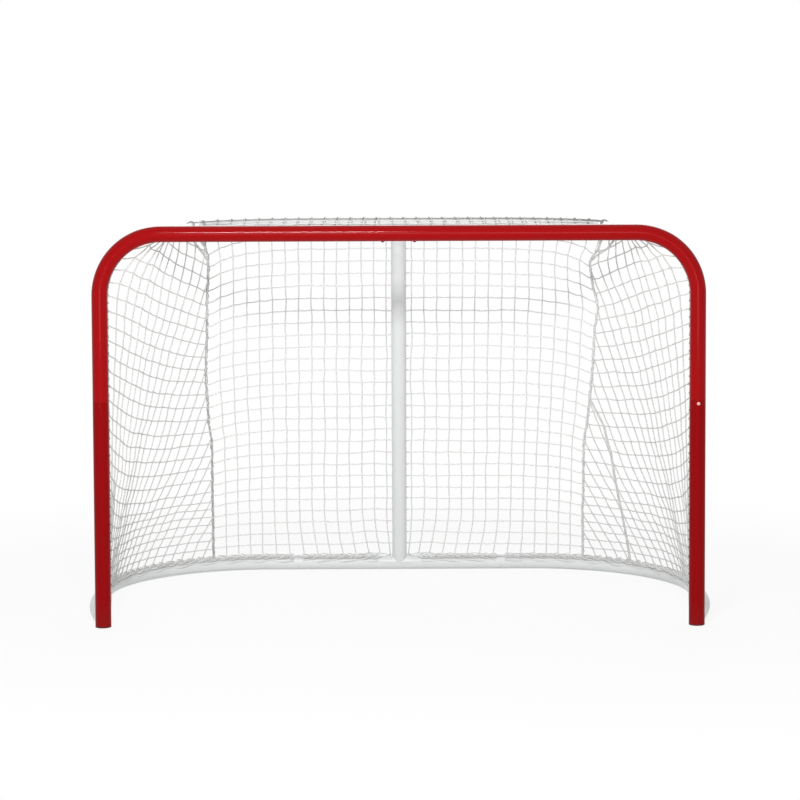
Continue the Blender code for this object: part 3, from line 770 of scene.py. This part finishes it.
backNet = {
    "columns": 31,
    "rows": 29,
    "lie": math.radians(20),
    "droop": 0.046,
    "droopStart": 0.03,
    "droopReach": 0.14,
    "barSlack": 0.1,  # up to this share of the width the slack is doubled
    "jitter": 0.005,
    # beside the bar the foot lies low behind the tube; over the blend it comes up to the laced ring
    "blend": (0.06, 0.12),
    "ringBlend": 0.45,
    "behindBar": 0.0315,
    "behindTurn": math.radians(-40),
    "hug": ((0.05, 0.0), (0.13, 1.0)),
    # how far strings are drawn towards the bar at the foot, by distance from the bar
    "draw": ((0.0, 0.0), (0.05, 0.012), (0.12, 0.025), (0.3, 0.023), (0.4, 0.012), (0.5, 0.0)),
    "drawHeight": 0.14,
    "least": 1e-4,  # the nearest that a string comes to the middle
}


def netFoot(x):
    start, length = backNet["blend"]
    share = unit((abs(x) - start) / length)
    outer = unit((share - backNet["ringBlend"]) / backNet["ringBlend"])
    return baseLine.ring(baseLine.reach(abs(x)), math.copysign(1, x),
                         between(backNet["behindTurn"], rod["base"], share),
                         between(backNet["behindBar"], net["ring"], outer))


def backSurface(across, v):
    # across runs from -1 at the left seam to 1 at the right one
    side = -1 if across < 0 else 1
    top = shelfRing(side * max(abs(across) * net["top"][side], backNet["least"]), backNet["lie"])
    x = side * max(abs(across) * net["foot"][side], backNet["least"])
    laced = baseLine.ring(baseLine.reach(abs(x)), side, rod["base"], net["ring"])
    # only the strings beside the bar run behind it all the way down
    hug = 1 - curveAt(backNet["hug"], abs(x))
    dip = (netFoot(x) - laced) * (v * hug + v ** 8 * (1 - hug))
    nearBar = 1 - unit((abs(across) - backNet["barSlack"]) / (1 - backNet["barSlack"]))
    low = (max(v - 1 + backNet["drawHeight"], 0) / backNet["drawHeight"]) ** 1.5
    slack, stray = seamSway(side, v)
    drawn = -side * curveAt(backNet["draw"], abs(x)) * low
    return top.lerp(laced, v) + dip + slack * (1 + nearBar) + right * (stray * abs(across) ** 6 + drawn)


def backKnot(column, row):
    x = 2 * column / (backNet["columns"] - 1) - 1
    v = row / (backNet["rows"] - 1)
    near = math.exp(-(1 - abs(x)) / backNet["droopReach"])
    v = min(v + backNet["droop"] * near * min(v / backNet["droopStart"], 1) * (1 - v) ** 0.7, 1)
    spot = backSurface(x, v)
    return spot + jitter(spot, backNet["jitter"]) * math.sin(math.pi * v) ** 0.6 * (1 - near)


cordMesh("backNet", gridStrings(backKnot, backNet["columns"], backNet["rows"]), "twine", "net_back")

sideNet = {
    "rows": 25,
    "firstRow": -6,
    "columns": 30,
    "jitter": 0.006,
    # where its edges begin and end along the tubes
    "postTop": frontLine.length - goal["postX"] + 0.4 * goal["cornerRadius"],
    "postFoot": 0.06,
    "underEnd": shelfOnFront - 0.035,
    "shelfStart": 0.045,
    "baseStart": 0.05,
    "baseShort": 0.004,
    "turnOver": 0.06,
    "lie": math.radians(22),
    "toe": 40,
    # the panel bends like the shelf only close to it, and like the base over most of its height
    "shelfHold": 8,
    "baseHold": 1.8,
    # how far the rows fall towards the seam, and how much less at the foot
    "fall": {-1: (0.15, 0.06), 1: (0.115, 0.03)},
    "fallFoot": 0.3,
    "bow": 5,
    # where the columns draw together at the top
    "gather": ((0.0, 0.0), (0.1, 0.24), (0.44, 0.36), (0.56, 0.53), (0.67, 0.655), (1.0, 1.0)),
    "gatherReach": 0.06,
    "still": 0.12,  # the width of the edge along which the jitter fades
    "full": 0.99,
    "edgeThick": 1.35,
    "creases": {
        -1: (((0.8, 0.0), (0.87, 0.035), (0.95, 0.07), (1.0, 0.1)),
             ((0.93, 0.0), (0.96, 0.04), (1.0, 0.06))),
        1: (((0.7, 0.0), (0.82, 0.041), (0.92, 0.07), (1.0, 0.1)),
            ((1.0, 0.5), (0.89, 0.583), (0.845, 0.658), (0.828, 0.793), (0.815, 0.855), (0.812, 1.0))),
    },
    "creaseHalf": 0.0022,
    "creaseThick": 1.05,
    "creaseKnot": 1.2,
    "creaseSteps": 5,
    # how finely lengths are measured, and how often a place is refined
    "acrossSteps": 24,
    "downSteps": 20,
    "turns": 8,
}


def sideSurface(side):
    # the panel's edges: under the corner and along the shelf, down the post, along the base, down the seam
    postTop, postFoot, turnOver = sideNet["postTop"], sideNet["postFoot"], sideNet["turnOver"]
    underRun = sideNet["underEnd"] - postTop
    shelfRun = shelfLine.reach(net["top"][side]) - sideNet["shelfStart"]
    baseEnd = baseLine.reach(net["foot"][side]) - sideNet["baseShort"]

    def frontRing(distance):
        return frontLine.ring(distance, side, rod["front"], net["ring"], back)

    def top(u):
        distance = u * (underRun + shelfRun)
        onShelf = shelfLine.ring(sideNet["shelfStart"] + max(distance - underRun, 0), side,
                                 sideNet["lie"] - math.pi / 2, net["wrap"])
        share = unit((distance - underRun + turnOver / 2) / turnOver)
        return frontRing(postTop + min(distance, underRun)).lerp(onShelf, smooth(share))

    def bottom(u):
        return baseLine.ring(between(sideNet["baseStart"], baseEnd, u), side, rod["base"], net["ring"])

    def front(v):
        toe = (bottom(0) - frontRing(postFoot)) * v ** sideNet["toe"]
        return frontRing(between(postTop, postFoot, v)) + toe

    def seam(v):
        slack, stray = seamSway(side, v)
        return top(1).lerp(bottom(1), v) + slack + right * stray

    def surface(u, v):
        shelfBend = top(u) - top(0).lerp(top(1), u)
        baseBend = bottom(u) - bottom(0).lerp(bottom(1), u)
        return (front(v).lerp(seam(v), u) + shelfBend * (1 - v) ** sideNet["shelfHold"]
                + baseBend * v ** sideNet["baseHold"])

    return surface


def sideStrings(side):
    surface = sideSurface(side)
    most, less = sideNet["fall"][side]

    def rowLength(v):
        spots = [surface(u, v) for u in shares(sideNet["acrossSteps"])]
        return sum((b - a).length for a, b in zip(spots, spots[1:]))

    lengths = [rowLength(v) for v in shares(sideNet["downSteps"])]

    def lengthAt(v):
        place = unit(v) * sideNet["downSteps"]
        low = min(int(place), sideNet["downSteps"] - 1)
        return between(lengths[low], lengths[low + 1], place - low)

    def columnAt(k, v):
        return k * net["cell"] / lengthAt(v)

    def rowAt(j, u):
        v = j / sideNet["rows"]
        bow = 1 + sideNet["bow"] * max(v, 0) ** 2
        drop = (most - less * max(v, 0)) * min((1 - v) / sideNet["fallFoot"], 1)
        return v + drop * (1 - (1 - u) ** bow)

    def knot(k, j):
        u = 0.4
        for _ in range(sideNet["turns"]):
            v = rowAt(j, unit(u))
            u = columnAt(k, v)
        return u, v

    def gathered(u, v):
        # towards the top the columns draw together under the crossbar
        for (a, low), (b, high) in zip(sideNet["gather"], sideNet["gather"][1:]):
            if u <= b:
                break
        drawn = between(low, high, min((u - a) / (b - a), 1))
        return between(u, drawn, math.exp(-v / sideNet["gatherReach"]))

    def place(u, v):
        spot = surface(gathered(u, v), v)
        inside = min(u, 1 - u, v, 1 - v, sideNet["still"]) / sideNet["still"]
        return spot + jitter(spot, sideNet["jitter"]) * inside

    rows, columns = {}, {}
    for j in range(sideNet["firstRow"], sideNet["rows"] + 1):
        for k in range(sideNet["columns"]):
            u, v = knot(k, j)
            if u < sideNet["full"] and 0 <= v <= 1 and not (j <= 0 and k == 0):
                rows.setdefault(j, []).append((k, u, v))
                columns.setdefault(k, []).append((j, u, v))
    strings = []
    for j, found in rows.items():
        spots = [place(u, v) for k, u, v in found]
        k, u, v = found[0]
        if k:
            # the row starts at the top edge
            start = bisect(columnAt(k - 1, 0), u, lambda middle: rowAt(j, middle) < 0)
            spots.insert(0, surface(start, max(rowAt(j, start), 0)))
        strings.append(spots + [surface(1, min(rowAt(j, 1), 1))])
    for k, found in columns.items():
        spots = [place(u, v) for j, u, v in found]
        share = columnAt(k, 0)
        if share < sideNet["full"]:
            spots.insert(0, surface(gathered(share, 0), 0))
        else:
            # the column starts at the seam
            start = bisect(0.0, found[0][2], lambda middle: columnAt(k, middle) > 1)
            spots.insert(0, surface(1, start))
        strings.append(spots)
    for edge in ([surface(u, 0) for u in shares(12)], [surface(0, v) for v in shares(30)]):
        strings.append(tied(edge, sideNet["edgeThick"]))
    for crease in sideNet["creases"][side]:
        # a doubled cord that a crease pulls tight
        for shift in (-sideNet["creaseHalf"], sideNet["creaseHalf"]):
            spots = []
            for (u, v), (nextU, nextV) in zip(crease, crease[1:]):
                spots += [surface(between(u, nextU, share), between(v, nextV, share)) + right * shift
                          for share in shares(sideNet["creaseSteps"])[:-1]]
            spots.append(surface(*crease[-1]) + right * shift)
            strings.append(tied(spots, sideNet["creaseThick"], sideNet["creaseKnot"], 0.0))
    return strings


seamCord = {
    "steps": 56,
    "half": 0.0017,
    "kink": 0.006,
    "thick": 1.05,
    "knot": 1.3,
    "run": (0.01, 0.99),
    "join": {"pitch": 0.0385, "coil": 0.0046, "thick": 0.75, "phase": 1.0},
}


def seamStrings(side):
    # the two panels' edge cords, kinked by the strings that pull at them, and the cord that joins them
    surface = sideSurface(side)
    strings = []
    for shift, phase in ((-seamCord["half"], 0.0), (seamCord["half"], 5.0)):
        seam = []
        for i, v in enumerate(shares(seamCord["steps"])):
            kink = noise.noise(Vector((i * 0.9, phase, 2.0))) * seamCord["kink"] * math.sin(math.pi * v)
            seam.append(surface(1, v) + right * (shift + kink))
        strings.append(tied(seam, seamCord["thick"], seamCord["knot"], 0.0))

    def spotAt(distance, angle, coil):
        return surface(1, distance) + (right * math.cos(angle) + back * math.sin(angle)) * coil

    return [*strings, wound(spotAt, *seamCord["run"], **seamCord["join"])]


for word, side in hands:
    cordMesh(f"{word}Net", sideStrings(side), "sideTwine", f"net_{word}")
    cordMesh(f"{word}Seam", seamStrings(side), "seam" if side < 0 else "sideTwine")

topNet = {"columns": 30, "rows": 11, "over": 2, "half": 0.64, "wrapStep": 34, "jitter": 0.004}


def topKnot(column, row):
    # flat from the crossbar to the shelf's crest, then the last rows wrap over the shelf
    x = topNet["half"] * (2 * column / (topNet["columns"] - 1) - 1)
    flat = topNet["rows"] - 1 - topNet["over"]
    if row > flat:
        return shelfRing(x, math.radians(90 - topNet["wrapStep"] * (row - flat)))
    front = frontLine.ring(frontLine.length - abs(x), math.copysign(1, x), rod["front"], net["ring"], back)
    spot = front.lerp(shelfRing(x, math.radians(90)), row / flat)
    return spot + jitter(spot, topNet["jitter"]) * math.sin(math.pi * row / flat)


cordMesh("topNet", gridStrings(topKnot, topNet["columns"], topNet["rows"]), "twine", "net_top")


def besideLine(line, side, angle, lift, reach):
    # points round a rod that runs beside a tube
    def spotAt(distance, turn, coil):
        spot, heading, inner = line.at(distance)
        out = inner * math.sin(angle) + lift * math.cos(angle)
        place = spot + out * reach + (out * math.cos(turn) + heading.cross(out) * math.sin(turn)) * coil
        return Vector((side * place.x, place.y, place.z))

    return spotAt


lacing = {
    "offRod": 0.001,
    "start": 0.09,
    "joint": 0.016,
    "stop": 0.075,
    # two cords cross once a cell and leave long loops between
    "loopPhases": (0.4, 0.4 + math.pi),
    "loop": {"pitch": 0.089, "coil": 0.0064, "thick": 0.85, "loose": 0.16, "steps": 16},
    # surplus cord is bunched round the rod, and some lies on the tube's inner side
    "bunchStart": 0.55,
    "bunchCoils": ((1.9, 0.0088), (1.9 + math.pi, 0.00704)),
    "bunch": {"pitch": 0.08366, "thick": 1.0, "loose": 0.3, "steps": 16},
    "lyingStart": 0.6,
    "lyingTurn": math.radians(72),
    "lyingReach": goal["tube"] + 0.003,
    "lying": {"pitch": 0.0979, "coil": 0.0032, "thick": 1.0, "phase": 0.7, "loose": 0.4, "steps": 12},
    # on the right the lacing is hauled tight into a rope
    "ropeRun": (0.5, 0.86),
    "ropePhases": (0.0, 2.1, 4.2),
    "rope": {"pitch": 0.036, "coil": 0.0044, "thick": 1.5, "loose": 0.12, "steps": 10},
    # the twine that ties the net's front edges to their rods
    "front": {"pitch": 0.027, "coil": 0.0052, "thick": 0.8},
    "frontEnd": 0.003,
    "frontFoot": 0.05,
}
for word, side in hands:
    beside = besideLine(baseLine, side, rod["base"], up, rod["reach"] + lacing["offRod"])
    lying = besideLine(baseLine, side, lacing["lyingTurn"], up, lacing["lyingReach"])
    strings, surplus = [], []
    for low, high in ((lacing["start"], baseJointAt - lacing["joint"]),
                      (baseJointAt + lacing["joint"], baseLine.reach(lacing["stop"]))):
        for phase in lacing["loopPhases"]:
            strings.append(wound(beside, low, high, phase=phase, **lacing["loop"]))
        for phase, coil in lacing["bunchCoils"]:
            surplus.append(wound(beside, max(low, lacing["bunchStart"]), high, phase=phase, coil=coil,
                                 **lacing["bunch"]))
        surplus.append(wound(lying, max(low, lacing["lyingStart"]), high, **lacing["lying"]))
    if side > 0:
        for phase in lacing["ropePhases"]:
            strings.append(wound(beside, *lacing["ropeRun"], phase=phase, **lacing["rope"]))
    cordMesh(f"{word}BaseLace", strings, "sideTwine", f"{word}_base_lace")
    cordMesh(f"{word}BaseHem", surplus, "twine")
    beside = besideLine(frontLine, side, rod["front"], back, rod["reach"] + lacing["offRod"])
    strings = []
    for run in frontRuns:
        low = run[0] + lacing["frontFoot" if run is frontRuns[0] else "frontEnd"]
        strings.append(wound(beside, low, run[1] - lacing["frontEnd"], phase=low, **lacing["front"]))
    cordMesh(f"{word}FrontLace", strings, "shadedLace")

shelfLace = {
    "pitch": 0.043,
    "end": 0.665,
    "reach": goal["tube"] + 0.0046,
    "thick": 1.35,
    "from": 100,  # degrees from the shelf's crest towards its inner side
    "step": 28,
    "round": 280,
    "links": 5,
    # how far a stroke slants over its first 70 degrees, by distance from the middle
    "slant": ((0.0, 0.006), (0.27, 0.009), (0.48, 0.028), (0.57, 0.04), (0.68, 0.05)),
    "slantTurn": 70,
    # first stroke and number of strokes, left and right
    "strokes": {-1: (0.0727, 15), 1: (-0.0277, 17)},
    "pastMiddle": 0.2,
    "wander": 0.0012,
    "crestTurn": 14,
    "crestReach": goal["tube"] + 0.0024,
    "crestThick": ((0.5, 1.35), (0.9, 0.75)),
    "crestStep": 0.012,
}


def shelfAt(x):
    # the distance from the front at which the shelf has come in to x, also past the middle
    return shelfLine.length - x if x < shelfLace["pastMiddle"] else shelfLine.reach(x)


def shelfSpot(side, distance, angle, reach):
    distance = distance if side > 0 else wholeShelf.length - distance
    place = wholeShelf.ring(distance, 1, math.radians(angle), reach)
    return place + right * shelfLace["wander"] * noise.noise(place * 40.0)


def shelfTurns(side):
    # slanted turns round the shelf at even steps across, from the corner to the middle
    first, count = shelfLace["strokes"][side]
    reach, thick, start, links = (shelfLace[key] for key in ("reach", "thick", "from", "links"))
    stop, linkStep = start - shelfLace["round"], (360 - shelfLace["round"]) / links
    turns = []
    for i in reversed(range(count)):
        x = min(first + shelfLace["pitch"] * i, shelfLace["end"])
        turns.append((shelfAt(x), curveAt(shelfLace["slant"], abs(x)) / shelfLace["slantTurn"]))
    points = []
    for i, (here, slant) in enumerate(turns):
        points += [(shelfSpot(side, here - slant * max(angle, 0), angle, reach), thick)
                   for angle in range(start, stop - 1, -shelfLace["step"])]
        if i + 1 < count:
            after, nextSlant = turns[i + 1]
            under = after - nextSlant * start - here
            points += [(shelfSpot(side, here + under * step / links, stop - linkStep * step, reach), thick)
                       for step in range(1, links)]
    return points


# the cords that bind the top and back panels round the shelf, over one that lies along it
strings = [shelfTurns(-1), shelfTurns(1)]
low, high = shelfAt(shelfLace["end"]), wholeShelf.length - shelfAt(shelfLace["end"])
crest = []
for share in shares(round((high - low) / shelfLace["crestStep"])):
    distance = between(low, high, share)
    crest.append((shelfSpot(1, distance, shelfLace["crestTurn"], shelfLace["crestReach"]),
                  curveAt(shelfLace["crestThick"], distance)))
cordMesh("shelfLace", [*strings, crest], "shadedLace")
print("nets done")

stage = {"size": 30, "below": 0.0005, "floor": 0.9, "near": 0.88, "fade": (1.2, 2.8), "world": 0.38}
# each lamp's place, aim, size and power
lamps = {
    "keyLamp": ((-0.55, -4.4, 2.95), (-0.3, goal["frontY"], 1.0), (1.0, 0.45), 130.0),
    "fillLamp": ((0.2, -9.6, 1.5), (0, 0, 0.5), (3.4, 2.9), 110.0),
    "rearLamp": ((0.5, 7.5, 5.2), (0, 0.3, 0.6), (7.0, 3.0), 230.0),
}
view = {
    "distance": 7.94,
    "height": 1.5985,
    "lens": 114.08,
    "sensor": 36,
    "pitch": 0.0709,
    "yaw": 0.0016,
    "roll": -0.004,
    "shift": -0.125,
    "x": -0.009,
    "far": 100,
}


def buildStage():
    bm = bmesh.new()
    bmesh.ops.create_grid(bm, x_segments=1, y_segments=1, size=stage["size"])
    mesh = bpy.data.meshes.new("studioFloor")
    bm.to_mesh(mesh)
    bm.free()
    floor = bpy.data.objects.new("studioFloor", mesh)
    bpy.context.scene.collection.objects.link(floor)
    floor.location.z = -stage["below"]
    # the floor is lit and shadowed near the goal and plain white beyond, where it meets the backdrop
    paint = Paint(bpy.data.materials.new("studioFloor"))
    paint.looks(Base_Color=3 * (stage["floor"],), Roughness=1.0, Specular_IOR_Level=0.0)
    far = paint.node("ShaderNodeVectorMath", {"operation": "LENGTH"}, paint.place(), out="Value")
    far = paint.node("ShaderNodeMapRange", {"interpolation_type": "SMOOTHSTEP"}, far, *stage["fade"],
                     stage["near"], 1.0)
    white = paint.node("ShaderNodeEmission", {}, Strength=1.0, Color=(1, 1, 1))
    lit = Wire(paint, paint.shader.outputs[0])
    mix = paint.node("ShaderNodeMixShader", {}, paint.seen() * far, lit, white)
    paint.plug(paint.tree.nodes["Material Output"].inputs["Surface"], mix)
    mesh.materials.append(paint.owner)
    sky = Paint(bpy.data.worlds.new("studio"), "Background")
    bpy.context.scene.world = sky.owner
    strength = sky.node("ShaderNodeMapRange", {}, sky.seen(), 0.0, 1.0, stage["world"], 1.0)
    sky.looks(Color=(1, 1, 1), Strength=strength)


def addLamp(name, place, aim, size, power):
    lamp = bpy.data.lights.new(name, "AREA")
    lamp.shape, lamp.size, lamp.size_y, lamp.energy = "RECTANGLE", size[0], size[1], power
    thing = bpy.data.objects.new(name, lamp)
    thing.location = place
    thing.rotation_euler = (Vector(aim) - Vector(place)).to_track_quat("-Z", "Y").to_euler()
    thing.visible_camera = False
    bpy.context.scene.collection.objects.link(thing)


def addCamera():
    data = bpy.data.cameras.new("camera")
    data.lens, data.sensor_width, data.shift_y = view["lens"], view["sensor"], view["shift"]
    data.clip_end = view["far"]
    camera = bpy.data.objects.new("camera", data)
    camera.location = (view["x"], goal["frontY"] - view["distance"], view["height"])
    look = Matrix.Rotation(-view["yaw"], 3, "Z") @ Matrix.Rotation(math.pi / 2 - view["pitch"], 3, "X")
    camera.rotation_euler = (look @ Matrix.Rotation(view["roll"], 3, "Z")).to_euler()
    bpy.context.scene.collection.objects.link(camera)
    bpy.context.scene.camera = camera


buildStage()
for name, lamp in lamps.items():
    addLamp(name, *lamp)
addCamera()
bpy.context.scene.view_settings.view_transform = "Standard"
print("studio done")
